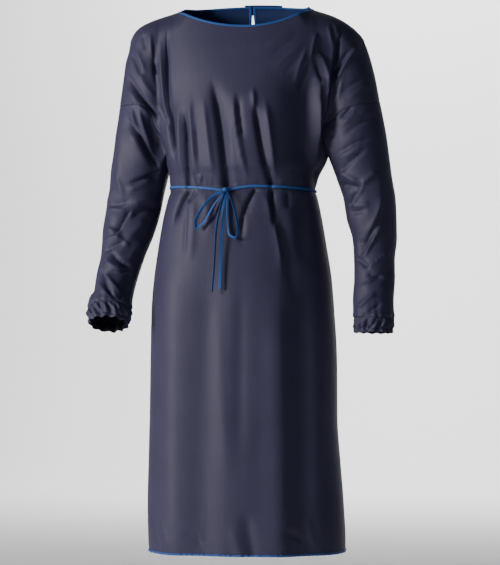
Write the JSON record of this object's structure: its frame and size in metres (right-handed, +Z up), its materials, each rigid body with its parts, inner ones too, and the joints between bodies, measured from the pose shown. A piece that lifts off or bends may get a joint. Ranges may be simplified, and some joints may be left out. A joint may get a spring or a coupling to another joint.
{
  "type": "protective smock",
  "caption": "Long-sleeved protective smock of dark coated cloth, worn and hollow, with a bound neck and hem, gathered cuffs, an open back and a tape tied in a bow at the front waist.",
  "frame": {"origin": "between the shoulders, level with the corners of the neck, where the wearer's shoulders hold the smock up", "axes": "+Z up the worn smock from hem to neck, -Y out of its front, +X towards the wearer's left arm"},
  "size_m": [0.6676, 0.3136, 1.2032],
  "materials": {
    "coated_cloth": "semi-gloss coated",
    "bias_binding": "soft sheen",
    "woven_tape": "matt woven"
  },
  "bodies": {
    "root": {"front": "coated_cloth", "back_right": "coated_cloth", "back_left": "coated_cloth", "sleeve_right": "coated_cloth", "sleeve_left": "coated_cloth", "cuff_right": "coated_cloth", "cuff_left": "coated_cloth", "neck_tab": "coated_cloth", "neck_binding_front": "bias_binding", "neck_binding_back_right": "bias_binding", "neck_binding_back_left": "bias_binding", "edge_binding_right": "bias_binding", "edge_binding_left": "bias_binding", "hem_binding_front": "bias_binding", "hem_binding_back_right": "bias_binding", "hem_binding_back_left": "bias_binding", "belt": "woven_tape", "belt_knot": "woven_tape", "bow_loop_right": "woven_tape", "bow_loop_left": "woven_tape", "tie_end_flat": "woven_tape", "tie_end_narrow": "woven_tape"}
  },
  "joints": []
}
